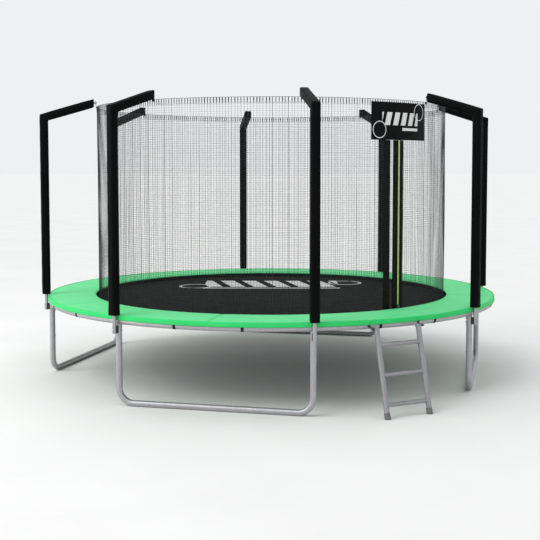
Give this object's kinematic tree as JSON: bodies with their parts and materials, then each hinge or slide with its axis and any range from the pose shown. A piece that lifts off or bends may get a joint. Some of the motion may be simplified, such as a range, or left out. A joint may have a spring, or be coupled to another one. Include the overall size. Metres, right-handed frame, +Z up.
{
  "type": "trampoline",
  "caption": "Round garden trampoline: galvanised ring on U-shaped legs, woven mat on springs, green edge pad, net hung from foam-covered bent poles, and a ladder.",
  "frame": {"origin": "centre of the circle, on the ground", "axes": "+Z up; the two X and two Y directions pass through the middles of the U-shaped legs; the ladder stands between -Y and +X"},
  "size_m": [4.372, 4.372, 2.6411],
  "materials": {
    "banner_vinyl": "printed PVC",
    "black_plastic": "moulded",
    "black_webbing": "woven tape",
    "dark_steel": "dark zinc",
    "galvanised_tube": "galvanised, dull",
    "grey_plastic": "moulded",
    "ladder_tube": "galvanised, dull",
    "mat_weave": "woven polypropylene",
    "net_mesh": "knitted mesh",
    "net_tape": "woven tape",
    "pad_cover": "PVC-coated cloth, satin",
    "pad_edge": "PVC-coated cloth, satin",
    "sleeve_cover": "PVC-coated cloth over foam, satin",
    "spring_wire": "galvanised spring wire",
    "zinc_fastener": "zinc plated",
    "zip_metal": "cast zinc",
    "zip_tape": "woven tape",
    "zip_teeth": "moulded coil"
  },
  "bodies": {
    "frame": {"door_banner": "banner_vinyl", "door_edge_tape": "zip_tape", "enclosure_net": "net_mesh", "foam_sleeve_1": "sleeve_cover", "foam_sleeve_2": "sleeve_cover", "foam_sleeve_3": "sleeve_cover", "foam_sleeve_4": "sleeve_cover", "foam_sleeve_5": "sleeve_cover", "foam_sleeve_6": "sleeve_cover", "foam_sleeve_7": "sleeve_cover", "foam_sleeve_8": "sleeve_cover", "frame_rail_1": "galvanised_tube", "frame_rail_2": "galvanised_tube", "frame_rail_3": "galvanised_tube", "frame_rail_4": "galvanised_tube", "frame_rail_5": "galvanised_tube", "frame_rail_6": "galvanised_tube", "frame_rail_7": "galvanised_tube", "frame_rail_8": "galvanised_tube", "ladder_hooks": "dark_steel", "leg_base_1": "galvanised_tube", "leg_base_2": "galvanised_tube", "leg_base_3": "galvanised_tube", "leg_base_4": "galvanised_tube", "leg_extensions": "galvanised_tube", "leg_screws": "zinc_fastener", "leg_sockets": "galvanised_tube", "lower_poles": "galvanised_tube", "net_bottom_hem": "net_tape", "net_bottom_straps": "black_webbing", "net_hangers": "black_webbing", "net_top_hem": "net_tape", "pad_skirt": "pad_edge", "pad_straps": "black_webbing", "pole_bolts": "zinc_fastener", "pole_caps": "black_plastic", "pole_nuts": "zinc_fastener", "pole_spacers": "black_plastic", "safety_pad": "pad_cover", "springs": "spring_wire", "upper_poles": "galvanised_tube", "zip_tape": "zip_tape", "zip_teeth": "zip_teeth"},
    "mat": {"jumping_mat": "mat_weave", "mat_webbing": "black_webbing", "webbing_tabs": "black_webbing", "v_rings": "zinc_fastener"},
    "zip_runner": {"zip_slider": "zip_metal", "zip_pull": "zip_metal"},
    "ladder": {"ladder_bolts": "zinc_fastener", "ladder_feet": "grey_plastic", "ladder_nuts": "zinc_fastener", "ladder_rail_left": "ladder_tube", "ladder_rail_right": "ladder_tube", "ladder_rung_1": "ladder_tube", "ladder_rung_2": "ladder_tube", "ladder_rung_3": "ladder_tube"}
  },
  "joints": [
    {"name": "mat_bounce", "type": "slide", "parent": "frame", "child": "mat", "axis": [0, 0, -1], "range_m": [0, 0.3], "stiffness_N_per_m": 5000, "springref_m": -0.04, "deforming": ["springs"]},
    {"name": "zip_slide", "type": "slide", "parent": "frame", "child": "zip_runner", "axis": [0, 0, 1], "range_m": [0, 1.4]},
    {"name": "ladder_swing", "type": "hinge", "parent": "frame", "child": "ladder", "pos_m": [1.45317, -1.67168, 0.695], "axis": [-0.7547, -0.6561, 0], "range_deg": [0, 60]}
  ]
}
